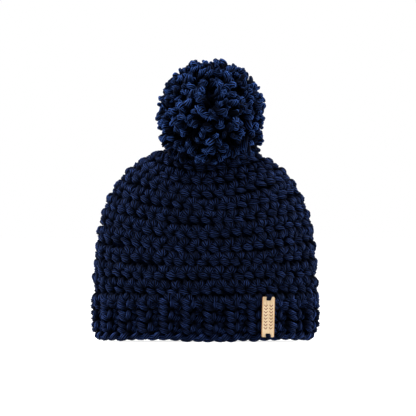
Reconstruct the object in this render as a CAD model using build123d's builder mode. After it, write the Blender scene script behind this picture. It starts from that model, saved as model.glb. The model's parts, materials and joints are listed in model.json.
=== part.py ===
from build123d import *

import math
import os

# A crocheted beanie with a yarn pompom, a ribbed brim and a small wooden label.
# +Z is up, -Y is the front. The hat stands on its brim edge at Z = 0 and the
# origin is the middle of that edge. Millimetres.

# Hat
HAT_WIDTH = 250.0
HAT_DEPTH = 120.0
HAT_HEIGHT = 219.0
BRIM_HEIGHT = 48.0
CHAIN_HEIGHT = 9.0
FABRIC = 12.0  # thickness of the crocheted fabric
WIDTH_POWER = 2.4  # the crown's outline is a superellipse: 2 and 2 would be an ellipse
RISE_POWER = 2.95
CROWN_ROUNDS = 13  # rounds of half double crochet above the brim
ROUND_BULGE = 1.1  # how far each round stands out between its joins
STITCHES = 48  # stitches in a round at the brim
CHAIN_INSET = 3.0  # the edge chain draws in a little from the ribs

# Ribbed brim: front and back post stitches take turns
RIBS = STITCHES // 2
RIB_RADIUS = 7.0
RIB_RELIEF = 3.5  # the valleys lie this far inside the ribs

# Pompom and what holds it
YARN = 4.4  # diameter of the yarn under tension
POMPOM_X = 6.0  # the pompom is sewn on a little to one side
POMPOM_RADIUS = 59.5
POMPOM_LEAN = 25.0  # degrees forward of upright, as it rests
PIVOT_Z = HAT_HEIGHT + 3.6  # where the tails bend as they leave the crown
TAILS_REACH = 31.1  # from there to the middle of the pompom
TUFT_BASE = 6.4  # the flattened underside, from the same place
TIE_RADIUS = 11.0  # centreline of the yarn round the waist of the strands
TIE_WRAPS = 2
TIE_PITCH = 4.1  # the wraps press into each other a little
TIE_KNOT_RADIUS = 4.5
NOD_FORWARD = 4.0  # degrees the pompom turns on its tails
NOD_BACK = 20.0
GAP = 0.3  # between bodies that move on each other
HOLE_GAP = 0.4
KNOT_RADIUS = 7.0
CLOSING_RADIUS = 9.8
CLOSING_YARN = 4.8

# Wooden label
LABEL_X = 67.9
LABEL_Z = 27.4
LABEL_WIDTH = 14.0
LABEL_HEIGHT = 44.0
LABEL_THICKNESS = 2.0
LABEL_CORNER = 1.6
LABEL_LEAN = 1.4  # degrees
LABEL_HOLE_WIDTH = 5.6
LABEL_HOLE_HEIGHT = 2.6
LABEL_BAR = 1.4  # wood left between each hole and the end
LABEL_YARN = 2.4  # diameter of the yarn pulled through the holes
LABEL_YARN_WIDTH = 5.0  # across its two passes, lying side by side
ENGRAVING_DEPTH = 0.4
ENGRAVING_WIDTH = 0.9
ENGRAVING_ROWS = 8
ENGRAVING_PITCH = 3.5
ENGRAVING_COLUMN = 3.0  # each column's distance from the label's middle line
ENGRAVING_ARM = 1.9

A, B = HAT_WIDTH / 2, HAT_DEPTH / 2


def evenly(points, count):
    """count + 1 points spaced evenly along a finely drawn line."""
    lengths = [0.0]
    for start, end in zip(points, points[1:]):
        lengths.append(lengths[-1] + math.dist(start, end))
    found = []
    i = 0
    for step in range(count + 1):
        wanted = lengths[-1] * step / count
        while i < len(points) - 2 and lengths[i + 1] < wanted:
            i += 1
        share = (wanted - lengths[i]) / (lengths[i + 1] - lengths[i])
        found.append(tuple(p + share * (q - p) for p, q in zip(points[i], points[i + 1])))
    return found


def crown_outline(inset, count):
    """Points (radius, height) from the brim up the side of the crown to its top, inset from the outside."""
    radius = A - inset
    rise = HAT_HEIGHT - BRIM_HEIGHT - inset
    fine = []
    for step in range(2001):
        turn = math.radians(90) * step / 2000
        out = radius * max(0.0, math.cos(turn)) ** (2 / WIDTH_POWER)
        up = BRIM_HEIGHT + rise * math.sin(turn) ** (2 / RISE_POWER)
        fine.append((out, up))
    return evenly(fine, count)


def oval_point(inset, turn):
    """A point on the brim's oval and the direction straight out of the fabric there. turn is in radians."""
    a, b = A - inset, B - inset
    x, y = a * math.cos(turn), b * math.sin(turn)
    return Vector(x, y, 0), Vector(x / a**2, y / b**2, 0).normalized()


def rib_centres():
    fine = [tuple(oval_point(RIB_RADIUS, math.tau * step / 3600)[0]) for step in range(3601)]
    return evenly(fine, RIBS)[:-1]


def dome(inset, bulge):
    """A solid dome with an oval plan: the crown's outline turned about Z, then narrowed front to back."""
    points = crown_outline(inset, CROWN_ROUNDS)
    with BuildPart() as solid:
        with BuildSketch(Plane.XZ):
            with BuildLine():
                if bulge:
                    for start, end in zip(points, points[1:]):
                        SagittaArc(start, end, bulge)
                else:
                    Spline(*points, tangents=[(0, 1), (-1, 0)])
                Polyline(points[-1], (0, BRIM_HEIGHT), points[0])
            make_face()
        revolve(axis=Axis.Z)
        scale(by=(1, (B - inset) / (A - inset), 1))
    return solid.part


# --- Label's place on the brim ------------------------------------------------------------
label_turn = -math.acos(LABEL_X / A)
label_on_brim, label_out = oval_point(0, label_turn)
label_origin = label_on_brim + label_out * GAP + Vector(0, 0, LABEL_Z)
label_across = Vector(-label_out.Y, label_out.X, 0).rotate(Axis((0, 0, 0), tuple(label_out)), -LABEL_LEAN)
LABEL_PLANE = Plane(origin=label_origin, x_dir=label_across, z_dir=label_out)
LABEL_HOLE_Y = LABEL_HEIGHT / 2 - LABEL_BAR - LABEL_HOLE_HEIGHT / 2

# --- Wooden label: a thin plate with a hole near each end ---------------------------------
with BuildPart() as label:
    with BuildSketch(LABEL_PLANE):
        RectangleRounded(LABEL_WIDTH, LABEL_HEIGHT, LABEL_CORNER)
        with Locations((0, LABEL_HOLE_Y), (0, -LABEL_HOLE_Y)):
            RectangleRounded(LABEL_HOLE_WIDTH, LABEL_HOLE_HEIGHT, 0.8, mode=Mode.SUBTRACT)
    extrude(amount=LABEL_THICKNESS)
    with BuildSketch(LABEL_PLANE.offset(LABEL_THICKNESS)):
        for column in (-ENGRAVING_COLUMN, ENGRAVING_COLUMN):
            for row in range(ENGRAVING_ROWS):
                height = ENGRAVING_PITCH * (row - (ENGRAVING_ROWS - 1) / 2)
                for side in (-1, 1):
                    with Locations((column + side * ENGRAVING_ARM / 2, height)):
                        SlotOverall(ENGRAVING_ARM * 1.7, ENGRAVING_WIDTH, rotation=side * 45)
    extrude(amount=-ENGRAVING_DEPTH, mode=Mode.SUBTRACT)


def label_stitch(end):
    """A closed loop of yarn: over the bar at the label's end, through its hole and the fabric behind.
    end is 1 at the top and -1 at the bottom."""
    yarn = LABEL_YARN / 2
    outer = LABEL_THICKNESS + yarn + 0.15
    inner = -FABRIC - GAP - yarn
    near = LABEL_HOLE_Y
    far = LABEL_HEIGHT / 2 + yarn + 0.1
    middle = LABEL_PLANE.from_local_coords(Vector(0, end * (near + far) / 2, (outer + inner) / 2))
    across = Plane(origin=middle, x_dir=LABEL_PLANE.z_dir, z_dir=LABEL_PLANE.x_dir)
    with BuildPart() as stitch:
        with BuildSketch(across, mode=Mode.PRIVATE) as loop:
            RectangleRounded(outer - inner, far - near, yarn + 0.1)
        path = loop.sketch.faces()[0].outer_wire()
        with BuildSketch(Plane(origin=path @ 0, x_dir=LABEL_PLANE.x_dir, z_dir=path % 0)):
            SlotOverall(LABEL_YARN_WIDTH, LABEL_YARN)
        sweep(path=path)
    return stitch.part


stitch_top = label_stitch(1)
stitch_bottom = label_stitch(-1)

# --- Crown: the crocheted shell above the brim, open at the brim and at the small hole it closes to
with BuildPart() as closing_yarn:
    with Locations((POMPOM_X, 0, HAT_HEIGHT - FABRIC)):
        Torus(CLOSING_RADIUS, CLOSING_YARN / 2)

with BuildPart() as crown:
    add(dome(0, ROUND_BULGE))
    add(dome(FABRIC, 0), mode=Mode.SUBTRACT)
    with Locations((POMPOM_X, 0, HAT_HEIGHT)):
        Cylinder(YARN + HOLE_GAP, 4 * FABRIC, mode=Mode.SUBTRACT)
    add(closing_yarn.part, mode=Mode.SUBTRACT)
    add(stitch_top, mode=Mode.SUBTRACT)

# --- Brim: a ribbed band, and the foundation chain along its lower edge -------------------
with BuildPart() as brim:
    with BuildSketch(Plane.XY.offset(CHAIN_HEIGHT)):
        Ellipse(A - RIB_RELIEF, B - RIB_RELIEF)
        with Locations(*rib_centres()):
            Circle(RIB_RADIUS)
        Ellipse(A - FABRIC, B - FABRIC, mode=Mode.SUBTRACT)
    extrude(amount=BRIM_HEIGHT - CHAIN_HEIGHT)
    add(stitch_top, mode=Mode.SUBTRACT)
    add(stitch_bottom, mode=Mode.SUBTRACT)

with BuildPart() as chain:
    with BuildSketch():
        Ellipse(A - CHAIN_INSET, B - CHAIN_INSET)
        Ellipse(A - FABRIC, B - FABRIC, mode=Mode.SUBTRACT)
    extrude(amount=CHAIN_HEIGHT)
    fillet(chain.edges().group_by(Axis.Z)[0], 3.0)
    add(stitch_bottom, mode=Mode.SUBTRACT)

# --- Pompom: built along its own leaning axis, from where the tails leave the crown -------
lean = math.radians(POMPOM_LEAN)
POMPOM_PLANE = Plane(origin=(POMPOM_X, 0, PIVOT_Z), x_dir=(1, 0, 0), z_dir=(0, -math.sin(lean), math.cos(lean)))

with BuildPart(POMPOM_PLANE) as tie:
    for wrap in range(TIE_WRAPS):
        across = (wrap - (TIE_WRAPS - 1) / 2) * TIE_PITCH
        with Locations(Location((across, 0, TAILS_REACH), (0, 90, 0))):
            Torus(TIE_RADIUS, YARN / 2)
    with Locations((0, 0, TAILS_REACH - TIE_RADIUS)):
        Sphere(TIE_KNOT_RADIUS)

with BuildPart(POMPOM_PLANE) as tails:
    with Locations((0, -YARN / 2 + 0.1, 0), (0, YARN / 2 - 0.1, 0)):
        Cylinder(YARN / 2, TAILS_REACH, align=(Align.CENTER, Align.CENTER, Align.MIN))
    Sphere(YARN + GAP, mode=Mode.SUBTRACT)
    with Locations((0, 0, TAILS_REACH)):
        Sphere(TIE_RADIUS + TIE_KNOT_RADIUS + GAP, mode=Mode.SUBTRACT)

with BuildPart() as tuft:
    with Locations(POMPOM_PLANE.offset(TAILS_REACH)):
        Sphere(POMPOM_RADIUS)
    with Locations(POMPOM_PLANE.offset(TUFT_BASE)):
        Box(
            2 * POMPOM_RADIUS,
            2 * POMPOM_RADIUS,
            POMPOM_RADIUS,
            align=(Align.CENTER, Align.CENTER, Align.MAX),
            mode=Mode.SUBTRACT,
        )
    add(tie.part, mode=Mode.SUBTRACT)
    with BuildSketch(Plane(POMPOM_PLANE.origin, x_dir=POMPOM_PLANE.y_dir, z_dir=POMPOM_PLANE.x_dir)):
        top = TAILS_REACH - TIE_RADIUS
        bottom = TUFT_BASE - 1
        forward = math.tan(math.radians(NOD_FORWARD))
        back = math.tan(math.radians(NOD_BACK))
        side = YARN + 3 * GAP
        Polygon(
            (-side - TIE_RADIUS * forward, top),
            (side + TIE_RADIUS * back, top),
            (side + (TAILS_REACH - bottom) * back, bottom),
            (-side - (TAILS_REACH - bottom) * forward, bottom),
            align=None,
        )
    extrude(amount=YARN / 2 + 2 * GAP, both=True, mode=Mode.SUBTRACT)

with BuildPart() as anchor:
    knot_z = HAT_HEIGHT - FABRIC - KNOT_RADIUS - 2 * GAP
    with Locations((POMPOM_X, 0, knot_z)):
        Sphere(KNOT_RADIUS)
        Cylinder(YARN, PIVOT_Z - knot_z, align=(Align.CENTER, Align.CENTER, Align.MIN))
    with Locations((POMPOM_X, 0, PIVOT_Z)):
        Sphere(YARN)

# --- Names and files ----------------------------------------------------------------------
os.makedirs("parts", exist_ok=True)

crown.part.label = "crown_shell"
closing_yarn.part.label = "crown_closing_yarn"
brim.part.label = "brim_band"
chain.part.label = "foundation_chain"
label.part.label = "label_plate"
stitch_top.label = "label_stitch_top"
stitch_bottom.label = "label_stitch_bottom"
tuft.part.label = "pompom_tuft"
tie.part.label = "pompom_waist_tie"
tails.part.label = "pompom_tails"
anchor.part.label = "pompom_anchor_knot"

export_step(crown.part, "parts/crown_shell.step")
export_step(closing_yarn.part, "parts/crown_closing_yarn.step")
export_step(brim.part, "parts/brim_band.step")
export_step(chain.part, "parts/foundation_chain.step")
export_step(label.part, "parts/label_plate.step")
export_step(stitch_top, "parts/label_stitch_top.step")
export_step(stitch_bottom, "parts/label_stitch_bottom.step")
export_step(tuft.part, "parts/pompom_tuft.step")
export_step(tie.part, "parts/pompom_waist_tie.step")
export_step(tails.part, "parts/pompom_tails.step")
export_step(anchor.part, "parts/pompom_anchor_knot.step")
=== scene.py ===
import json
import math

import bpy
import numpy as np
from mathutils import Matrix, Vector


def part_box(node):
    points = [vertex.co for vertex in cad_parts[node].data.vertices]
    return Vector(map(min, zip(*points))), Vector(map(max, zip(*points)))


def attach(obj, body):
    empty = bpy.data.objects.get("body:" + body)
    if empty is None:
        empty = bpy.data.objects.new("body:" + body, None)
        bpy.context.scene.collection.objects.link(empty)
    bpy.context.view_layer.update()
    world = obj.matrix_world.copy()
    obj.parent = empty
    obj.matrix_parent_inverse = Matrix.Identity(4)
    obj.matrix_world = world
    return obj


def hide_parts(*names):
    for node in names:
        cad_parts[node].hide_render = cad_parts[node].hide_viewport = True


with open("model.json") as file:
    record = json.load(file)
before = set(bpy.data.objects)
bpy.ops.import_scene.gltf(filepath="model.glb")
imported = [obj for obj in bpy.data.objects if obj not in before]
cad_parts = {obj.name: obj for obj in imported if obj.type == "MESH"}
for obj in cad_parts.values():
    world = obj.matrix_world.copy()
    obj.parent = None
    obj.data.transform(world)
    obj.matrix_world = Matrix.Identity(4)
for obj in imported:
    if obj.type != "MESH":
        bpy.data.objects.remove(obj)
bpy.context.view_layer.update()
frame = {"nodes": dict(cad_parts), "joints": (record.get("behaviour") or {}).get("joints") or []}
rng = np.random.default_rng(20)
MM = 0.001

# --- The hat's own shape, from the solids ---------------------------------------------------------
crown_low, crown_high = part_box("crown_shell")
brim_low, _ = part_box("brim_band")
chain_low, chain_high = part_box("foundation_chain")
A = (crown_high.x - crown_low.x) / 2
B = (crown_high.y - crown_low.y) / 2
SQUASH = B / A
BRIM_TOP = crown_low.z
TOP = crown_high.z
CHAIN_TOP = brim_low.z
RISE = TOP - BRIM_TOP
# The powers of the crown's rounded outline, across and up
WIDTH_POWER = 2.4
RISE_POWER = 2.95
ROUNDS = 13
STITCH = 12.4 * MM
FIRST_LEAF = 0.66

# Tables for going from a share of the way up the side to a place on it. The side's length depends on
# the direction, because the hat is an oval seen from above.
WAY = np.linspace(0, 1, 161)
REACHES = np.linspace(SQUASH * 0.98, 1, 24)
SLOPE_STEP = 0.004
_turn = np.radians(90) * np.linspace(0, 1, 4001)
_out = A * np.maximum(np.cos(_turn), 0) ** (2 / WIDTH_POWER)
_up = RISE * np.sin(_turn) ** (2 / RISE_POWER)


def _side_table():
    outs, ups, lengths = [], [], []
    for reach in REACHES:
        steps = np.hypot(np.diff(_out * reach), np.diff(_up))
        way = np.concatenate([[0], np.cumsum(steps)])
        lengths.append(way[-1])
        way /= way[-1]
        outs.append(np.interp(WAY, way, _out))
        ups.append(np.interp(WAY, way, _up))
    return np.array(outs), np.array(ups), np.array(lengths)


SIDE_OUT, SIDE_UP, SIDE_LENGTH = _side_table()


def _table(values, reach, way):
    i = np.clip((reach - REACHES[0]) / (REACHES[1] - REACHES[0]), 0, len(REACHES) - 1.001)
    j = np.clip(way, 0, 1) * (len(WAY) - 1)
    j = np.clip(j, 0, len(WAY) - 1.001)
    i0, j0 = i.astype(int), j.astype(int)
    fi, fj = i - i0, j - j0
    low = values[i0, j0] * (1 - fj) + values[i0, j0 + 1] * fj
    high = values[i0 + 1, j0] * (1 - fj) + values[i0 + 1, j0 + 1] * fj
    return low * (1 - fi) + high * fi


def on_crown(turn, rows, out):
    """Points on the crown: turn is the angle round it, rows the height in rounds, out how far outward."""
    reach = np.hypot(np.cos(turn), SQUASH * np.sin(turn))
    way = rows / ROUNDS
    radius = _table(SIDE_OUT, reach, way)
    up = _table(SIDE_UP, reach, way)
    after = np.minimum(way + SLOPE_STEP, 1)
    before = np.maximum(way - SLOPE_STEP, 0)
    d_radius = _table(SIDE_OUT, reach, after) - _table(SIDE_OUT, reach, before)
    d_up = _table(SIDE_UP, reach, after) - _table(SIDE_UP, reach, before)
    below = way < 0
    radius = np.where(below, A, radius)
    up = np.where(below, rows / ROUNDS * np.interp(reach, REACHES, SIDE_LENGTH), up)
    d_radius = np.where(below, 0, d_radius)
    d_up = np.where(below, 1, d_up)
    normal = np.stack(
        [SQUASH * d_up * np.cos(turn), d_up * np.sin(turn), -SQUASH * d_radius], -1
    )
    normal /= np.linalg.norm(normal, axis=-1, keepdims=True) + 1e-12
    point = np.stack(
        [radius * np.cos(turn), SQUASH * radius * np.sin(turn), BRIM_TOP + up], -1
    )
    return point + normal * out[..., None]


# The brim's lower corners turn in, by so many mm at the right and the left, and its edge waves up a little
RIGHT_PULL = 9
LEFT_PULL = 3.5
CORNER_HEIGHT = 22 * MM
EDGE_WAVE = 0.9 * MM
EDGE_WAVE_HEIGHT = 14 * MM


def on_brim(turn, height, out):
    """Points on the brim, whose two lower corners are turned in a little, the right one more."""
    normal = np.stack([np.cos(turn) / A, np.sin(turn) / B, np.zeros_like(turn)], -1)
    normal /= np.linalg.norm(normal, axis=-1, keepdims=True)
    side = np.cos(turn)
    low = np.clip(1 - height / CORNER_HEIGHT, 0, 1) ** 2
    corner = np.clip((np.abs(side) - 0.75) / 0.25, 0, 1) ** 2
    pull = np.where(side > 0, RIGHT_PULL, LEFT_PULL) * MM * corner * low
    lift = EDGE_WAVE * (1 - np.cos(5 * turn + 0.6)) * np.clip(1 - height / EDGE_WAVE_HEIGHT, 0, 1)
    point = np.stack([A * side - np.sign(side) * pull, B * np.sin(turn), height + lift], -1)
    return point + normal * out[..., None]


def spacing(points):
    """Shares of the way round a closed line of points at even turns from pi on, the turns, and its length."""
    steps = np.linalg.norm(np.diff(points, axis=0), axis=1)
    way = np.concatenate([[0], np.cumsum(steps)])
    turns = math.pi + np.linspace(0, math.tau, len(points))
    return way / way[-1], turns, way[-1]


def round_of(place, height):
    """For one round of stitches: a function from a share of the way round to the turn, and its length."""
    turns = math.pi + np.linspace(0, math.tau, 721)
    full = np.full_like(turns, height)
    way, turns, length = spacing(place(turns, full, np.full_like(turns, -4 * MM)))

    def turn_at(share):
        laps = np.floor(share)
        return np.interp(share - laps, way, turns) + laps * math.tau

    return turn_at, length


# --- Yarn ------------------------------------------------------------------------------------------
THINNEST = 0.15 * MM


def smooth_path(points, count):
    """Catmull-Rom through the control points: (M, K, n) to (M, count, n)."""
    m, k, n = points.shape
    ends = np.concatenate(
        [2 * points[:, :1] - points[:, 1:2], points, 2 * points[:, -1:] - points[:, -2:-1]], 1
    )
    at = np.linspace(0, k - 1, count)
    i = np.minimum(at.astype(int), k - 2)
    t = (at - i)[None, :, None]
    p0, p1, p2, p3 = (ends[:, i + o] for o in range(4))
    square = 2 * p0 - 5 * p1 + 4 * p2 - p3
    cube = 3 * p1 - p0 - 3 * p2 + p3
    return 0.5 * (2 * p1 + (p2 - p0) * t + square * t**2 + cube * t**3)


def frames(path):
    """The tangent and two directions across it at each point, turning as little as they can."""
    tangent = np.gradient(path, axis=1)
    tangent /= np.linalg.norm(tangent, axis=-1, keepdims=True) + 1e-12
    side = np.zeros_like(path)
    first = np.cross(tangent[:, 0], [0.31, 0.17, 0.93])
    side[:, 0] = first / (np.linalg.norm(first, axis=-1, keepdims=True) + 1e-12)
    for i in range(1, path.shape[1]):
        s = side[:, i - 1]
        s = s - (s * tangent[:, i]).sum(-1, keepdims=True) * tangent[:, i]
        side[:, i] = s / (np.linalg.norm(s, axis=-1, keepdims=True) + 1e-12)
    return tangent, side, np.cross(tangent, side)


def strand_mesh(points, radii, count=13, plies=8, groove=0.34, twist=75.0, dim=None):
    """Plied yarn along many paths at once. points (M, K, 3) and radii (M, K) in metres.
    twist is the plies' turn in degrees over 10 mm, positive for yarn plied to the left.
    dim (K) is how much painted shade darkens each control point, from 0 to 1: by default only the two ends.
    Returns the vertices and the quads, and each vertex's place along the fibres, its shade and its tone."""
    if dim is None:
        dim = np.zeros(points.shape[1])
        dim[[0, -1]] = 1
        dim[[1, -2]] = 0.5
    shade = np.broadcast_to(dim, radii.shape)
    both = smooth_path(np.concatenate([points, radii[..., None], shade[..., None]], -1), count)
    path, radius = both[..., :3], np.maximum(both[..., 3], THINNEST)
    shade = np.clip(both[..., 4], 0, 1)[..., None]
    m = len(path)
    _, side, up = frames(path)
    steps = np.linalg.norm(np.diff(path, axis=1), axis=-1)
    along = np.concatenate([np.zeros((m, 1)), np.cumsum(steps, 1)], 1)
    ring = 2 * plies
    start = rng.uniform(0, math.tau, (m, 1, 1))
    angle = math.tau * np.arange(ring)[None, None] / ring
    turned = angle + start - math.radians(twist) * along[..., None] / (10 * MM)
    valley = (np.arange(ring) % 2).astype(float)[None, None]
    uneven = 1 + 0.06 * np.sin(angle * 3 + 7 * start)
    r = radius[..., None] * (1 - groove * valley) * uneven
    across = np.cos(turned)[..., None] * side[:, :, None] + np.sin(turned)[..., None] * up[:, :, None]
    verts = path[:, :, None] + across * r[..., None]
    index = np.arange(m * count * ring).reshape(m, count, ring)
    a, b = index[:, :-1], index[:, 1:]
    quads = [np.stack([a, np.roll(a, -1, 2), np.roll(b, -1, 2), b], -1).reshape(-1, 4)]
    for end in (0, count - 1):
        loop = index[:, end] if end else index[:, end, ::-1]
        for i in range(1, ring - 2, 2):
            quads.append(np.stack([loop[:, 0], loop[:, i], loop[:, i + 1], loop[:, i + 2]], -1))
    fibre = np.stack(
        [
            np.broadcast_to(np.cos(angle) * 1.6, r.shape),
            np.broadcast_to(np.sin(angle) * 1.6, r.shape),
            np.broadcast_to(along[..., None] * 100 + start * 7, r.shape),
        ],
        -1,
    )
    tones = rng.uniform(0, 1, (m, 1, 1)) + rng.uniform(-0.25, 0.25, (m, 1, plies)).repeat(2, 2)
    # The shade returned is painted shade: full in the valleys between the plies, and as dim gives along the
    # strand.
    return (
        verts.reshape(-1, 3),
        np.concatenate(quads),
        fibre.reshape(-1, 3),
        (1 - (1 - valley) * (1 - shade)).reshape(-1),
        np.broadcast_to(tones, r.shape).reshape(-1),
    )


def yarn(name, *sets):
    """One object from several results of strand_mesh."""
    starts = np.cumsum([0] + [len(s[0]) for s in sets[:-1]])
    obj = mesh_object(
        name,
        np.concatenate([s[0] for s in sets]),
        np.concatenate([s[1] + start for s, start in zip(sets, starts)]),
    )
    add_attribute(obj, "fibre", "FLOAT_VECTOR", np.concatenate([s[2] for s in sets]))
    # groove carries the painted shade between the plies and along the strands.
    add_attribute(obj, "groove", "FLOAT", np.concatenate([s[3] for s in sets]))
    add_attribute(obj, "tone", "FLOAT", np.concatenate([s[4] for s in sets]))
    return obj


def mesh_object(name, verts, quads):
    mesh = bpy.data.meshes.new(name)
    mesh.vertices.add(len(verts))
    mesh.vertices.foreach_set("co", np.ascontiguousarray(verts, np.float32).ravel())
    mesh.loops.add(quads.size)
    mesh.loops.foreach_set("vertex_index", np.ascontiguousarray(quads, np.int32).ravel())
    mesh.polygons.add(len(quads))
    mesh.polygons.foreach_set("loop_start", np.arange(0, quads.size, quads.shape[1], dtype=np.int32))
    mesh.update(calc_edges=True)
    mesh.polygons.foreach_set("use_smooth", np.ones(len(quads), bool))
    obj = bpy.data.objects.new(name, mesh)
    bpy.context.scene.collection.objects.link(obj)
    return obj


def add_attribute(obj, name, kind, values):
    layer = obj.data.attributes.new(name, kind, "POINT")
    key = "vector" if kind == "FLOAT_VECTOR" else "value"
    layer.data.foreach_set(key, np.ascontiguousarray(values, np.float32).ravel())


def grid_object(name, points, closed=True):
    """A mesh over a (rows, columns, 3) grid that closes on itself round its columns, and, if closed, from
    its last row to its first."""
    rows, columns = points.shape[:2]
    index = np.arange(rows * columns).reshape(rows, columns)
    a = index if closed else index[:-1]
    b = np.roll(index, -1, 0) if closed else index[1:]
    quads = np.stack([a, np.roll(a, -1, 1), np.roll(b, -1, 1), b], -1).reshape(-1, 4)
    return mesh_object(name, points.reshape(-1, 3), quads)


# --- Materials -------------------------------------------------------------------------------------
def nodes_of(name):
    material = bpy.data.materials.new(name)
    material.use_nodes = True
    tree = material.node_tree
    return material, tree, tree.nodes["Principled BSDF"]


def yarn_material(name, dark, light, sheen=0.012, spread=0.5, least=-0.33):
    """Plied yarn, light along the tops of its plies, with painted shade between them and wherever the groove
    attribute holds it. spread is how much its tone varies, and least is the level that its streaks start
    from."""
    material, tree, shader = nodes_of(name)
    n, link = tree.nodes, tree.links.new
    fibre = n.new("ShaderNodeAttribute")
    fibre.attribute_name = "fibre"
    groove = n.new("ShaderNodeAttribute")
    groove.attribute_name = "groove"
    tone = n.new("ShaderNodeAttribute")
    tone.attribute_name = "tone"
    stretch = n.new("ShaderNodeVectorMath")
    stretch.operation = "MULTIPLY"
    stretch.inputs[1].default_value = (3.2, 3.2, 0.9)
    link(fibre.outputs["Vector"], stretch.inputs[0])
    streaks = n.new("ShaderNodeTexNoise")
    streaks.inputs["Scale"].default_value = 2.4
    streaks.inputs["Detail"].default_value = 5
    streaks.inputs["Roughness"].default_value = 0.6
    link(stretch.outputs[0], streaks.inputs["Vector"])
    place = n.new("ShaderNodeTexCoord")
    clouds = n.new("ShaderNodeTexNoise")
    clouds.inputs["Scale"].default_value = 140
    clouds.inputs["Detail"].default_value = 3
    link(place.outputs["Object"], clouds.inputs["Vector"])
    mix = n.new("ShaderNodeMix")
    mix.data_type = "RGBA"
    mix.inputs[6].default_value = (*dark, 1)
    mix.inputs[7].default_value = (*light, 1)
    level = n.new("ShaderNodeMath")
    level.operation = "MULTIPLY_ADD"
    link(streaks.outputs["Fac"], level.inputs[0])
    level.inputs[1].default_value = 1.3
    level.inputs[2].default_value = least
    varied = n.new("ShaderNodeMath")
    varied.operation = "MULTIPLY_ADD"
    link(tone.outputs["Fac"], varied.inputs[0])
    varied.inputs[1].default_value = spread
    link(level.outputs[0], varied.inputs[2])
    cloudy = n.new("ShaderNodeMath")
    cloudy.operation = "MULTIPLY"
    link(varied.outputs[0], cloudy.inputs[0])
    link(clouds.outputs["Fac"], cloudy.inputs[1])
    # top is 1 on the ply tops and 0 where the groove attribute holds painted shade.
    top = n.new("ShaderNodeMapRange")
    top.interpolation_type = "SMOOTHSTEP"
    top.inputs["From Min"].default_value = 0.0
    top.inputs["From Max"].default_value = 0.58
    top.inputs["To Min"].default_value = 1.0
    top.inputs["To Max"].default_value = 0.0
    link(groove.outputs["Fac"], top.inputs["Value"])
    lit = n.new("ShaderNodeMath")
    lit.operation = "MULTIPLY"
    lit.use_clamp = True
    link(cloudy.outputs[0], lit.inputs[0])
    link(top.outputs["Result"], lit.inputs[1])
    doubled = n.new("ShaderNodeMath")
    doubled.operation = "MULTIPLY"
    doubled.inputs[1].default_value = 1.9
    doubled.use_clamp = True
    link(lit.outputs[0], doubled.inputs[0])
    link(doubled.outputs[0], mix.inputs[0])
    link(mix.outputs[2], shader.inputs["Base Color"])
    shader.inputs["Roughness"].default_value = 0.72
    shader.inputs["Specular IOR Level"].default_value = 0.01
    shader.inputs["Specular Tint"].default_value = (0.35, 0.5, 1.0, 1)
    shader.inputs["Sheen Weight"].default_value = sheen
    shader.inputs["Sheen Roughness"].default_value = 0.45
    shader.inputs["Sheen Tint"].default_value = (0.10, 0.22, 0.62, 1)
    bump = n.new("ShaderNodeBump")
    bump.inputs["Strength"].default_value = 0.55
    bump.inputs["Distance"].default_value = 0.0006
    link(streaks.outputs["Fac"], bump.inputs["Height"])
    link(bump.outputs["Normal"], shader.inputs["Normal"])
    return material


body_yarn = yarn_material("body_yarn", (0.0015, 0.0020, 0.0044), (0.030, 0.057, 0.188))
brim_yarn = yarn_material("brim_yarn", (0.0015, 0.0020, 0.0046), (0.032, 0.064, 0.225))
# The pompom's brighter light colour is painted light on the strands' tips, and its darker dark colour painted
# shade among the strands.
pompom_yarn = yarn_material(
    "pompom_yarn", (0.0011, 0.0013, 0.0026), (0.039, 0.094, 0.325), sheen=0.02, spread=1.0, least=-0.62
)
label_yarn = yarn_material("label_yarn", (0.0012, 0.0015, 0.0030), (0.016, 0.027, 0.080))


# Fabric behind the stitches: the fabric is there, but its near-black colour, far darker than the yarn, is
# painted shade in the gaps between the stitches.
def backing_material():
    material, tree, shader = nodes_of("backing_yarn_in_painted_shade")
    n, link = tree.nodes, tree.links.new
    place = n.new("ShaderNodeTexCoord")
    weave = n.new("ShaderNodeTexNoise")
    weave.inputs["Scale"].default_value = 420
    weave.inputs["Detail"].default_value = 6
    link(place.outputs["Object"], weave.inputs["Vector"])
    ramp = n.new("ShaderNodeValToRGB")
    ramp.color_ramp.elements[0].position = 0.3
    ramp.color_ramp.elements[0].color = (0.0003, 0.0005, 0.0014, 1)
    ramp.color_ramp.elements[1].position = 0.75
    ramp.color_ramp.elements[1].color = (0.0012, 0.0024, 0.0085, 1)
    link(weave.outputs["Fac"], ramp.inputs["Fac"])
    link(ramp.outputs["Color"], shader.inputs["Base Color"])
    bump = n.new("ShaderNodeBump")
    bump.inputs["Strength"].default_value = 0.8
    bump.inputs["Distance"].default_value = 0.001
    link(weave.outputs["Fac"], bump.inputs["Height"])
    link(bump.outputs["Normal"], shader.inputs["Normal"])
    shader.inputs["Roughness"].default_value = 0.9
    shader.inputs["Specular IOR Level"].default_value = 0.0
    return material


painted_shade_backing = backing_material()


def finish_piece(obj, material, body, *nodes, slot):
    obj.data.materials.clear()
    obj.data.materials.append(material)
    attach(obj, body)
    if nodes:
        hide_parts(*nodes)
    return obj


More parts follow.
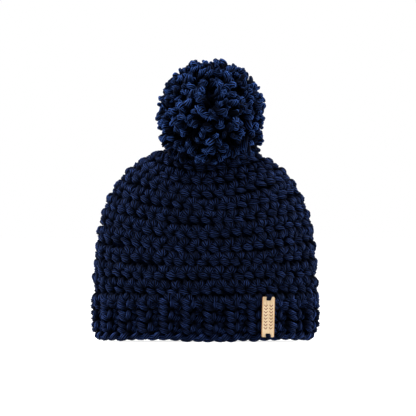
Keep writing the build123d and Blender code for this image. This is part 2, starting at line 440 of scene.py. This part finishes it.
# --- Crown: rounds of half double crochet -----------------------------------------------------------
# Each stitch shows a leaf of two strands that leaves its hole to the right and downward, and four legs that
# fan out upward from the hole.
# Control points: (share of the stitch along, share of the round up, mm out, yarn radius in mm)
LEAF_HIGH = np.array(
    [
        (0.00, 0.06, -10.0, 1.2),
        (0.12, 0.03, -6.2, 1.8),
        (0.32, -0.01, -4.8, 2.3),
        (0.55, -0.07, -4.3, 2.5),
        (0.78, -0.15, -4.9, 2.3),
        (0.94, -0.21, -6.8, 1.7),
        (1.02, -0.21, -10.0, 1.2),
    ]
)
LEAF_LOW = np.array(
    [
        (0.05, 0.01, -10.0, 1.1),
        (0.17, -0.06, -6.6, 1.6),
        (0.38, -0.16, -5.2, 2.0),
        (0.62, -0.26, -4.7, 2.2),
        (0.86, -0.35, -5.6, 1.9),
        (1.02, -0.39, -10.0, 1.2),
    ]
)
LEG_FAR_LEFT = np.array(
    [
        (0.00, 0.00, -9.0, 1.1),
        (-0.12, 0.07, -5.0, 1.8),
        (-0.31, 0.18, -3.2, 2.3),
        (-0.48, 0.28, -4.4, 2.1),
        (-0.60, 0.37, -10.0, 1.3),
    ]
)
LEG_LEFT = np.array(
    [
        (0.00, 0.03, -9.0, 1.1),
        (-0.07, 0.15, -4.6, 1.9),
        (-0.18, 0.33, -2.8, 2.5),
        (-0.30, 0.50, -4.2, 2.3),
        (-0.38, 0.61, -10.0, 1.4),
    ]
)
LEG_RIGHT = np.array(
    [
        (0.02, 0.04, -9.0, 1.1),
        (0.04, 0.17, -4.8, 1.9),
        (0.08, 0.36, -3.0, 2.5),
        (0.11, 0.54, -4.4, 2.3),
        (0.13, 0.66, -10.0, 1.4),
    ]
)
LEG_FAR_RIGHT = np.array(
    [
        (0.05, 0.04, -9.0, 1.0),
        (0.13, 0.14, -5.6, 1.7),
        (0.25, 0.29, -4.0, 2.1),
        (0.37, 0.44, -5.0, 1.9),
        (0.44, 0.56, -10.0, 1.2),
    ]
)
CROWN_STRANDS = (
    (LEAF_HIGH, {"count": 13, "plies": 6}),
    (LEAF_LOW, {"count": 12, "plies": 5}),
    (LEG_FAR_LEFT, {"count": 9, "plies": 5}),
    (LEG_LEFT, {"count": 10, "plies": 5}),
    (LEG_RIGHT, {"count": 10, "plies": 5}),
    (LEG_FAR_RIGHT, {"count": 9, "plies": 5}),
)


# How far a whole stitch, and each of its points, strays: in the units of the control points
STITCH_STRAY = np.array([0.035, 0.03, 0.35, 0.0])
POINT_STRAY = np.array([0.018, 0.016, 0.22, 0.0])
SIZE_STRAY = 0.06


def stitches(shape, place, turn_at, base, row_height, n, shift, rough=1.0, wander=1.0, size=1.0, **kind):
    """One strand of each of the n stitches in a round, as a strand_mesh. shift is where the round starts, in
    stitches; rough and wander scale how uneven it is."""
    i = np.arange(n)[:, None]
    local = np.broadcast_to(shape, (n, *shape.shape)).copy()
    local += rng.normal(0, 1, (n, 1, 4)) * STITCH_STRAY * rough
    local += rng.normal(0, 1, local.shape) * POINT_STRAY * rough
    along = (i + shift + local[..., 0]) / n
    wave = 0.04 * np.sin(math.tau * along * 3 + base * 1.7) + 0.03 * np.sin(math.tau * along * 7 + base * 2.9)
    height = base + (local[..., 1] + wave * wander) * row_height
    points = place(turn_at(along), height, local[..., 2] * MM)
    grow = size * (1 + rng.normal(0, SIZE_STRAY, (n, 1)))
    return strand_mesh(points, local[..., 3] * MM * grow, **kind)


def crown_stitches(where, **kind):
    """Every strand of one round of the crown's stitches."""
    common = {"rough": 1.35, "wander": 1.5, "groove": 0.42, "twist": 70}
    return [stitches(shape, *where, **common, **detail, **kind) for shape, detail in CROWN_STRANDS]


# The yarn of the last two rounds is drawn in tighter
LAST_ROUNDS_SIZE = 0.85


def crown_round(row):
    base = row + FIRST_LEAF
    turn_at, length = round_of(on_crown, base)
    n = max(6, round(length / STITCH))
    where = (on_crown, turn_at, base, 1.0, n, -row * 0.2)
    size = LAST_ROUNDS_SIZE if row >= ROUNDS - 2 else 1.0
    return yarn(f"crown_round_{row + 1:02d}", *crown_stitches(where, size=size))


for row in range(ROUNDS):
    piece = crown_round(row)
    finish_piece(piece, body_yarn, "hat", "crown_shell", slot="yarn_body")

# Legs that come up out of the brim to the first round
turn_at, length = round_of(on_crown, -0.2)
where = (on_crown, turn_at, FIRST_LEAF - 1, 1.0, round(length / STITCH), 0.2)
piece = yarn("crown_join", *crown_stitches(where))
finish_piece(piece, body_yarn, "hat", slot="yarn_body")

# The fabric behind the stitches, and the inside of the hat, in near-black painted shade. Distances are in mm
# out.
CROWN_BACKING_OUTSIDE = -7.5
CROWN_BACKING_INSIDE = -11.0
turns = math.pi + np.linspace(0, math.tau, 193)[:-1]
rows = np.linspace(0.02, ROUNDS - 0.25, 96)
grid_t, grid_r = np.meshgrid(turns, rows)
outer = on_crown(grid_t, grid_r, np.full_like(grid_t, CROWN_BACKING_OUTSIDE * MM))
ridge = 0.9 * np.cos(math.tau * grid_r) + 0.5 * np.cos(48 * grid_t)
inner = on_crown(grid_t, grid_r, (CROWN_BACKING_INSIDE + ridge) * MM)[::-1]
shell = grid_object("crown_backing", np.concatenate([outer, inner]))
finish_piece(shell, painted_shade_backing, "hat", slot="yarn_body")

# --- Brim: front and back post stitches -------------------------------------------------------------
RIBS = 24
POST_ROUNDS = 3
POST = (BRIM_TOP - CHAIN_TOP) / POST_ROUNDS
# Each rib has two slanting strands, one under the other, and a leaf beside them. Three strands lie further
# back between it and the next rib.
STACK = np.array(
    [
        (-0.40, 0.96, -9.0, 1.3),
        (-0.33, 0.88, -3.8, 2.2),
        (-0.16, 0.70, -1.4, 2.7),
        (0.01, 0.54, -3.2, 2.2),
        (0.08, 0.44, -9.0, 1.2),
    ]
)
STACK_LOW = STACK + np.array([0.02, -0.45, -0.3, 0.0])
POST_LEAF = np.array(
    [
        (0.20, 1.04, -9.0, 1.1),
        (0.19, 0.86, -4.4, 2.0),
        (0.18, 0.54, -2.6, 2.5),
        (0.12, 0.22, -4.2, 2.0),
        (0.08, 0.06, -9.0, 1.1),
    ]
)
CUP = np.array(
    [
        (0.20, 0.00, -11.5, 1.2),
        (0.26, 0.14, -8.8, 2.1),
        (0.36, 0.38, -7.4, 2.5),
        (0.46, 0.62, -8.4, 2.2),
        (0.50, 0.76, -11.5, 1.2),
    ]
)
CUP_SIDE = CUP + np.array([0.18, -0.12, -0.4, 0.0])
CUP_TOP = np.array(
    [
        (0.22, 1.06, -11.5, 1.1),
        (0.28, 0.97, -8.6, 1.8),
        (0.40, 0.86, -7.4, 2.2),
        (0.54, 0.76, -8.4, 1.8),
        (0.60, 0.68, -11.5, 1.1),
    ]
)
turn_at, _ = round_of(on_brim, (CHAIN_TOP + BRIM_TOP) / 2)
for post in range(POST_ROUNDS):
    where = (on_brim, turn_at, CHAIN_TOP + post * POST, POST, RIBS, 0.25)
    piece = yarn(
        f"brim_posts_{post + 1}",
        *[
            stitches(shape, *where, rough=0.8, wander=1.6, count=12, plies=7, groove=0.42, twist=60)
            for shape in (STACK, STACK_LOW, POST_LEAF, CUP, CUP_SIDE, CUP_TOP)
        ],
    )
    finish_piece(piece, brim_yarn, "hat", "brim_band", slot="yarn_brim")

# Fabric behind the posts, in near-black painted shade
grid_t, grid_z = np.meshgrid(turns, np.linspace(CHAIN_TOP - 2 * MM, BRIM_TOP + 3 * MM, 24))
rib = 1.6 * np.cos(RIBS * (grid_t - math.pi))
outer = on_brim(grid_t, grid_z, np.full_like(grid_t, -9.0 * MM))
inner = on_brim(grid_t, grid_z, (-11.6 + 0.4 * rib) * MM)[::-1]
band = grid_object("brim_backing", np.concatenate([outer, inner]))
finish_piece(band, painted_shade_backing, "hat", slot="yarn_brim")

# --- Foundation chain: slanting strands along the lower edge ---------------------------------------
EDGE = np.array(
    [
        (-0.48, -0.10, -10.5, 1.5),
        (-0.30, 0.04, -6.0, 2.8),
        (0.00, 0.36, -4.2, 3.6),
        (0.30, 0.78, -5.8, 2.9),
        (0.44, 1.05, -10.5, 1.5),
    ]
)
EDGE_LOW = np.array(
    [
        (-0.60, 0.52, -10.5, 1.6),
        (-0.42, 0.28, -6.6, 2.6),
        (0.00, 0.10, -5.2, 3.0),
        (0.42, 0.24, -7.4, 2.6),
        (0.62, 0.50, -11.0, 1.6),
    ]
)
# Each strand's shape, its foot, its share of the chain's height, its shift and how much it wanders
EDGE_STRANDS = (
    (EDGE, 2.9 * MM, 0.78, 0.1, 1.6),
    (EDGE_LOW, 2.2 * MM, 0.8, 0.6, 1.4),
)
turn_at, length = round_of(on_brim, chain_low.z)
n = round(length / STITCH)
height = chain_high.z - chain_low.z
piece = yarn(
    "foundation_edge",
    *[
        stitches(
            shape, on_brim, turn_at, foot, height * share, n, shift,
            wander=wander, plies=8, groove=0.4, twist=60,
        )
        for shape, foot, share, shift, wander in EDGE_STRANDS
    ],
)
finish_piece(piece, brim_yarn, "hat", "foundation_chain", slot="yarn_brim")

# Fabric behind the edge, in near-black painted shade
grid_t, grid_z = np.meshgrid(turns, np.linspace(3.0 * MM, CHAIN_TOP, 6))
outer = on_brim(grid_t, grid_z, np.full_like(grid_t, -8.8 * MM))
inner = on_brim(grid_t, grid_z, np.full_like(grid_t, -11.4 * MM))[::-1]
edge = grid_object("edge_backing", np.concatenate([outer, inner]))
finish_piece(edge, painted_shade_backing, "hat", slot="yarn_brim")

# --- Pompom ----------------------------------------------------------------------------------------
joints = {j["name"]: j for j in frame["joints"]}
CENTRE = np.array(joints["pompom_nod"]["pos_m"])
PIVOT = np.array(joints["pompom_lean_sideways"]["pos_m"])
tuft_low, tuft_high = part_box("pompom_tuft")
BALL = (tuft_high.x - tuft_low.x) / 2
# How many strands are tried: those that come out too short or cross the crown are left out
STRANDS_TRIED = 900
TIP_CLEAR = 1.04
STRAND_CLEAR = 0.95
SHORTEST = 0.56
CORE_SHARE = 0.66


def crown_level(points):
    """Under 1 inside the crown, 1 on it."""
    plan = np.hypot(points[..., 0], points[..., 1] / SQUASH) / A
    up = np.maximum(points[..., 2] - BRIM_TOP, 0) / RISE
    return plan**WIDTH_POWER + up**RISE_POWER


def sphere_directions(count):
    i = np.arange(count) + 0.5
    z = 1 - 2 * i / count
    turn = i * math.pi * (3 - math.sqrt(5))
    r = np.sqrt(1 - z * z)
    return np.stack([r * np.cos(turn), r * np.sin(turn), z], -1)


def pompom_strands(count):
    """Cut strands from the middle outward, each ending in a loose curl."""
    away = sphere_directions(count) + rng.normal(0, 0.05, (count, 3))
    away /= np.linalg.norm(away, axis=1, keepdims=True)
    reach = BALL * (0.95 + np.clip(rng.normal(0, 0.045, count), -0.10, 0.05))
    # The lowest strands at the front hang longer, over the crown
    drape = np.clip((-away[:, 2] - 0.45) / 0.45, 0, 1) * np.clip((-away[:, 1] - 0.15) / 0.4, 0, 1)
    reach *= 1 + 0.2 * drape * rng.uniform(0.4, 1.0, count)
    # A bulge low at the two sides
    below = np.degrees(np.arcsin(np.clip(away[:, 2], -1, 1))) + 38
    reach *= 1 + 0.15 * away[:, 0] ** 2 / (1.001 - away[:, 2] ** 2) * np.exp(-((below / 18) ** 2))
    # Strands that would end inside the crown are cut shorter
    for _ in range(14):
        inside = crown_level(CENTRE + away * reach[:, None]) < TIP_CLEAR
        reach = np.where(inside, reach * 0.96, reach)
    free = reach > SHORTEST * BALL
    away, reach = away[free], reach[free]
    m = len(away)
    side = np.cross(away, rng.normal(0, 1, (m, 3)))
    side /= np.linalg.norm(side, axis=1, keepdims=True)
    other = np.cross(away, side)
    share = np.array([0, 0.25, 0.5, 0.7, 0.85, 0.95, 1.0])
    way = 0.55 + 0.45 * (share + 0.04 * np.sin(math.pi * share))
    phase = rng.uniform(0, math.tau, (m, 1))
    loops = rng.uniform(0.3, 0.9, (m, 1))
    size = rng.uniform(3.5, 11.0, (m, 1)) * MM * share**1.8
    swing = phase + math.tau * loops * share
    points = (
        CENTRE
        + away[:, None] * (reach[:, None] * way)[..., None]
        + side[:, None] * (size * np.cos(swing))[..., None]
        + other[:, None] * (size * np.sin(swing))[..., None]
    )
    thick = rng.uniform(1.7, 3.0, (m, 1)) * MM
    radii = thick * np.array([0.7, 0.8, 0.9, 1.05, 1.25, 1.15, 0.6]) * (1 + rng.normal(0, 0.1, (m, 7)))
    return points, radii


points, radii = pompom_strands(STRANDS_TRIED)
clear = (crown_level(points) > STRAND_CLEAR).all(1)
points, radii = points[clear], radii[clear]
for number, chosen in enumerate(np.array_split(rng.permutation(len(points)), 3)):
    tuft = yarn(
        f"pompom_strands_{number + 1}",
        strand_mesh(
            points[chosen],
            radii[chosen],
            count=17,
            plies=6,
            groove=0.36,
            twist=60,
            # Painted shade deep in the pompom: each strand's colour is darkened towards the middle, and its
            # tip is left light.
            dim=np.array([1, 1, 0.9, 0.6, 0.2, 0, 0]),
        ),
    )
    finish_piece(tuft, pompom_yarn, "pompom", "pompom_tuft", slot="pompom_yarn")

# The imported middle of the strands, a near-black ball: painted shade deep inside the pompom
core_t, core_p = np.meshgrid(
    np.linspace(0, math.tau, 65)[:-1], np.linspace(0.02, math.pi - 0.02, 32)
)
core_r = BALL * (CORE_SHARE + 0.02 * np.sin(core_t * 9) * np.sin(core_p * 11))
core = np.stack(
    [np.sin(core_p) * np.cos(core_t), np.sin(core_p) * np.sin(core_t), np.cos(core_p)], -1
)
core = CENTRE + core * core_r[..., None]
core_obj = grid_object("pompom_core", core, closed=False)
finish_piece(core_obj, painted_shade_backing, "pompom", slot="pompom_yarn")

# --- Label: laser-cut birch, burnt brown in its engraving and on its cut edges ---------------------
LABEL_LEAN = math.radians(1.4)
LABEL_THICKNESS = 2 * MM
plate_low, plate_high = (np.array(corner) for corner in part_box("label_plate"))
plate_middle = (plate_low + plate_high) / 2
plate_turn = -math.acos(plate_middle[0] / A)
plate_out = np.array([math.cos(plate_turn) / A, math.sin(plate_turn) / B, 0])
plate_out /= np.linalg.norm(plate_out)
plate_level = np.array([-plate_out[1], plate_out[0], 0])
plate_across = plate_level * math.cos(LABEL_LEAN) - np.array([0, 0, 1]) * math.sin(LABEL_LEAN)
plate_up = np.cross(plate_out, plate_across)
PLATE_HALF_LENGTH = (plate_high[2] - plate_low[2]) / 2
PLATE_HALF_WIDTH = 7 * MM
PLATE_FRONT = LABEL_THICKNESS / 2


def math_node(tree, operation, *values):
    node = tree.nodes.new("ShaderNodeMath")
    node.operation = operation
    for socket, value in zip(node.inputs, values):
        if isinstance(value, (int, float)):
            socket.default_value = value
        else:
            tree.links.new(value, socket)
    return node.outputs[0]


def range_node(tree, value, low, high, start=0.0, end=1.0):
    node = tree.nodes.new("ShaderNodeMapRange")
    node.interpolation_type = "SMOOTHSTEP"
    tree.links.new(value, node.inputs["Value"])
    for key, number in (("From Min", low), ("From Max", high), ("To Min", start), ("To Max", end)):
        node.inputs[key].default_value = number
    return node.outputs["Result"]


def dot_node(tree, vector, fixed):
    node = tree.nodes.new("ShaderNodeVectorMath")
    node.operation = "DOT_PRODUCT"
    tree.links.new(vector, node.inputs[0])
    node.inputs[1].default_value = tuple(fixed)
    return node.outputs["Value"]


def noise_node(tree, vector, stretch, scale=1.0, detail=5.0):
    mapping = tree.nodes.new("ShaderNodeMapping")
    mapping.inputs["Scale"].default_value = stretch
    tree.links.new(vector, mapping.inputs["Vector"])
    node = tree.nodes.new("ShaderNodeTexNoise")
    node.inputs["Scale"].default_value = scale
    node.inputs["Detail"].default_value = detail
    tree.links.new(mapping.outputs["Vector"], node.inputs["Vector"])
    return node.outputs["Fac"]


def mix_node(tree, share, a, b):
    node = tree.nodes.new("ShaderNodeMix")
    node.data_type = "RGBA"
    tree.links.new(share, node.inputs[0])
    for socket, colour in ((node.inputs[6], a), (node.inputs[7], b)):
        if isinstance(colour, tuple):
            socket.default_value = (*colour, 1)
        else:
            tree.links.new(colour, socket)
    return node.outputs[2]


def wood_material():
    material, tree, shader = nodes_of("birch_wood")
    place = tree.nodes.new("ShaderNodeTexCoord").outputs["Object"]
    facing = tree.nodes.new("ShaderNodeNewGeometry").outputs["True Normal"]
    grain = noise_node(tree, place, (1100, 1100, 45))
    cloud = noise_node(tree, place, (140, 140, 60), detail=2)
    pores = noise_node(tree, place, (2600, 2600, 160), detail=2)
    face = mix_node(tree, range_node(tree, grain, 0.3, 0.7), (0.44, 0.29, 0.155), (0.64, 0.49, 0.31))
    face = mix_node(tree, range_node(tree, cloud, 0.35, 0.75, 0.0, 0.55), face, (0.69, 0.56, 0.385))
    face = mix_node(tree, range_node(tree, pores, 0.58, 0.70, 0.0, 0.5), face, (0.26, 0.13, 0.055))
    around = math_node(tree, "ABSOLUTE", math_node(
        tree, "SUBTRACT", dot_node(tree, place, plate_across), float(plate_across @ plate_middle)
    ))
    rim = range_node(tree, around, PLATE_HALF_WIDTH - 1.3 * MM, PLATE_HALF_WIDTH - 0.1 * MM, 0.0, 0.75)
    face = mix_node(tree, rim, face, (0.42, 0.22, 0.095))
    depth = math_node(tree, "SUBTRACT", dot_node(tree, place, plate_out), float(plate_out @ plate_middle))
    engraved = range_node(tree, depth, PLATE_FRONT - 0.30 * MM, PLATE_FRONT - 0.10 * MM, 1.0, 0.0)
    burnt = mix_node(tree, range_node(tree, grain, 0.3, 0.7), (0.120, 0.028, 0.011), (0.21, 0.058, 0.024))
    colour = mix_node(tree, engraved, face, burnt)
    faces_out = math_node(tree, "ABSOLUTE", dot_node(tree, facing, plate_out))
    side = range_node(tree, faces_out, 0.45, 0.85, 1.0, 0.0)
    edge = mix_node(tree, range_node(tree, cloud, 0.3, 0.7), (0.16, 0.070, 0.030), (0.34, 0.18, 0.085))
    shallow = range_node(tree, depth, PLATE_FRONT - 0.7 * MM, PLATE_FRONT - 0.2 * MM, 1.0, 0.35)
    tree.links.new(
        mix_node(tree, math_node(tree, "MULTIPLY", side, shallow), colour, edge),
        shader.inputs["Base Color"],
    )
    bump = tree.nodes.new("ShaderNodeBump")
    bump.inputs["Strength"].default_value = 0.25
    bump.inputs["Distance"].default_value = 0.0003
    tree.links.new(grain, bump.inputs["Height"])
    tree.links.new(bump.outputs["Normal"], shader.inputs["Normal"])
    tree.links.new(range_node(tree, grain, 0.3, 0.7, 0.62, 0.48), shader.inputs["Roughness"])
    shader.inputs["Specular IOR Level"].default_value = 0.3
    return material


plate = frame["nodes"]["label_plate"]
plate.data.materials.clear()
plate.data.materials.append(wood_material())

# Yarn over each end of the label: (up from the hole's side, out), in mm from the label's end and middle
OVER_BAR = np.array(
    [(-2.6, -7.5), (-2.7, 0.2), (-2.3, 1.9), (-1.0, 2.6), (0.5, 2.0), (1.2, 0.2), (1.5, -3.0), (1.5, -8.0)]
)
LABEL_YARN_RADIUS = 1.5 * MM
PASS_APART = 1.35


def strand_at(points, radius):
    points = np.asarray(points)
    return points, np.full(points.shape[:2], radius)


for end, name in ((1, "label_stitch_top"), (-1, "label_stitch_bottom")):
    paths = []
    for across in (-PASS_APART, PASS_APART):
        lean = rng.normal(0, 0.15, len(OVER_BAR))
        paths.append(
            plate_middle
            + plate_across * (across + lean)[:, None] * MM
            + plate_up * (end * (PLATE_HALF_LENGTH + OVER_BAR[:, :1] * MM))
            + plate_out * OVER_BAR[:, 1:] * MM
        )
    piece = yarn(
        f"{name}_yarn",
        strand_mesh(*strand_at(paths, LABEL_YARN_RADIUS), count=29, plies=6, groove=0.36, twist=150),
    )
    finish_piece(piece, label_yarn, "hat", name, slot="label_yarn")

# --- Yarn inside: the gathered closing at the top, and the pompom's tie, tails and anchor ----------
def ring_path(middle, one, other, radius, laps):
    """Yarn wound round a middle, in the plane of two directions."""
    angle = math.tau * laps * np.linspace(0, 1, 25)[:, None]
    return middle + radius * (np.cos(angle) * one + np.sin(angle) * other)


def yarn_ball(middle, radius, winds):
    """One strand wound round on itself into a knot."""
    angle = math.tau * np.linspace(0, 1, 33)
    r = radius * (0.72 + 0.28 * np.cos(winds * angle))
    return middle + np.stack(
        [r * np.cos(2 * angle), r * np.sin(2 * angle), 0.8 * radius * np.sin(winds * angle)], -1
    )


def node_yarn(name, material, body, paths, radius, slot):
    sets = [
        strand_mesh(*strand_at([path], radius), count=2 * len(path), plies=7, groove=0.36, twist=100)
        for path in paths
    ]
    finish_piece(yarn(f"{name}_yarn", *sets), material, body, name, slot=slot)


X, Y, Z = np.eye(3)
axis = (CENTRE - PIVOT) / np.linalg.norm(CENTRE - PIVOT)
beside = np.cross(axis, X)
YARN_RADIUS = 2.2 * MM
closing_low, closing_high = (np.array(corner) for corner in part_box("crown_closing_yarn"))
closing = (closing_low + closing_high) / 2
closing_radius = (closing_high[0] - closing_low[0]) / 2 - 2.4 * MM
node_yarn(
    "crown_closing_yarn",
    body_yarn,
    "hat",
    [ring_path(closing, X, Y, closing_radius, 1.04)],
    2.3 * MM,
    "yarn_body",
)
tie_radius = 11 * MM
tie_knot = CENTRE - axis * tie_radius
node_yarn(
    "pompom_waist_tie",
    pompom_yarn,
    "pompom",
    [
        ring_path(CENTRE - X * 2.05 * MM, Y, Z, tie_radius, 1.03),
        ring_path(CENTRE + X * 2.05 * MM, Y, Z, tie_radius, 1.03),
        yarn_ball(tie_knot, 3.4 * MM, 3),
    ],
    YARN_RADIUS * 0.92,
    "pompom_yarn",
)
_, tails_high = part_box("pompom_tails")
tail_start, tail_end = 4.7 * MM, (tails_high[2] - PIVOT[2]) / axis[2]
node_yarn(
    "pompom_tails",
    pompom_yarn,
    "pompom_neck",
    [
        np.array([PIVOT + axis * way + beside * side for way in np.linspace(tail_start, tail_end, 5)])
        for side in (-2.05 * MM, 2.05 * MM)
    ],
    YARN_RADIUS,
    "pompom_yarn",
)
anchor_low, anchor_high = (np.array(corner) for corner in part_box("pompom_anchor_knot"))
anchor_middle = (anchor_low + anchor_high) / 2
knot_radius = (anchor_high[0] - anchor_low[0]) / 2
knot = np.array([anchor_middle[0], anchor_middle[1], anchor_low[2] + knot_radius])
anchor_paths = [
    np.array(
        [
            [anchor_middle[0], anchor_middle[1] + side, height]
            for height in np.linspace(knot[2], anchor_high[2] - YARN_RADIUS, 6)
        ]
    )
    for side in (-1.9 * MM, 1.9 * MM)
]
node_yarn(
    "pompom_anchor_knot",
    pompom_yarn,
    "hat",
    [*anchor_paths, yarn_ball(knot, 5.0 * MM, 3), yarn_ball(knot, 4.2 * MM, 5)],
    1.95 * MM,
    "pompom_yarn",
)

# --- Studio ----------------------------------------------------------------------------------------
def stage_material():
    material, tree, shader = nodes_of("studio_white")
    n, link = tree.nodes, tree.links.new
    place = n.new("ShaderNodeTexCoord")
    dust = n.new("ShaderNodeTexNoise")
    dust.inputs["Scale"].default_value = 6
    link(place.outputs["Object"], dust.inputs["Vector"])
    ramp = n.new("ShaderNodeValToRGB")
    ramp.color_ramp.elements[0].color = (0.28, 0.28, 0.28, 1)
    ramp.color_ramp.elements[1].color = (0.32, 0.32, 0.32, 1)
    link(dust.outputs["Fac"], ramp.inputs["Fac"])
    link(ramp.outputs["Color"], shader.inputs["Base Color"])
    shader.inputs["Emission Color"].default_value = (1, 1, 1, 1)
    shader.inputs["Emission Strength"].default_value = 0.82
    shader.inputs["Roughness"].default_value = 0.95
    shader.inputs["Specular IOR Level"].default_value = 0.0
    return material


bpy.ops.mesh.primitive_plane_add(size=40, location=(0, 0, -0.0005))
floor = bpy.context.object
floor.name = "studio_floor"
floor.data.materials.append(stage_material())


def studio_world():
    """White behind and at the sides of the hat, dimmer in front of it, as in a light tent."""
    world = bpy.data.worlds.new("studio")
    bpy.context.scene.world = world
    world.use_nodes = True
    n, link = world.node_tree.nodes, world.node_tree.links.new
    place = n.new("ShaderNodeTexCoord")
    split = n.new("ShaderNodeSeparateXYZ")
    link(place.outputs["Generated"], split.inputs[0])
    sides = n.new("ShaderNodeMapRange")
    above = n.new("ShaderNodeMapRange")
    for node, axis, low, high, dim, bright in (
        (sides, "Y", -0.55, 0.08, 0.12, 1.0),
        (above, "Z", 0.5, 1.0, 0.12, 1.6),
    ):
        node.interpolation_type = "SMOOTHSTEP"
        node.inputs["From Min"].default_value = low
        node.inputs["From Max"].default_value = high
        node.inputs["To Min"].default_value = dim
        node.inputs["To Max"].default_value = bright
        link(split.outputs[axis], node.inputs["Value"])
    either = n.new("ShaderNodeMath")
    either.operation = "MAXIMUM"
    link(sides.outputs["Result"], either.inputs[0])
    link(above.outputs["Result"], either.inputs[1])
    link(either.outputs[0], n["Background"].inputs["Strength"])
    n["Background"].inputs["Color"].default_value = (1, 1, 1, 1)


studio_world()


def area(name, at, aim, size, power):
    data = bpy.data.lights.new(name, "AREA")
    data.shape = "RECTANGLE"
    data.size, data.size_y = size
    data.energy = power
    lamp = bpy.data.objects.new(name, data)
    bpy.context.scene.collection.objects.link(lamp)
    lamp.location = at
    lamp.rotation_euler = (Vector(aim) - Vector(at)).to_track_quat("-Z", "Y").to_euler()


area("left_side", (-1.6, 0.2, 0.45), (0, 0, 0.15), (1.0, 1.2), 66)
area("right_side", (1.6, 0.2, 0.45), (0, 0, 0.15), (1.0, 1.2), 58)
area("top", (-0.25, -0.6, 2.1), (0, 0, 0.2), (0.6, 0.6), 62)

# A long lens far in front, so that there is hardly any perspective
EYE = (0.00275, -6.0, 0.1463)
camera = bpy.data.cameras.new("camera")
camera.lens = 472
camera.sensor_width = 36
eye = bpy.data.objects.new("camera", camera)
bpy.context.scene.collection.objects.link(eye)
eye.location = EYE
eye.rotation_euler = (math.radians(90), 0, 0)
bpy.context.scene.camera = eye
bpy.context.scene.view_settings.view_transform = "Standard"
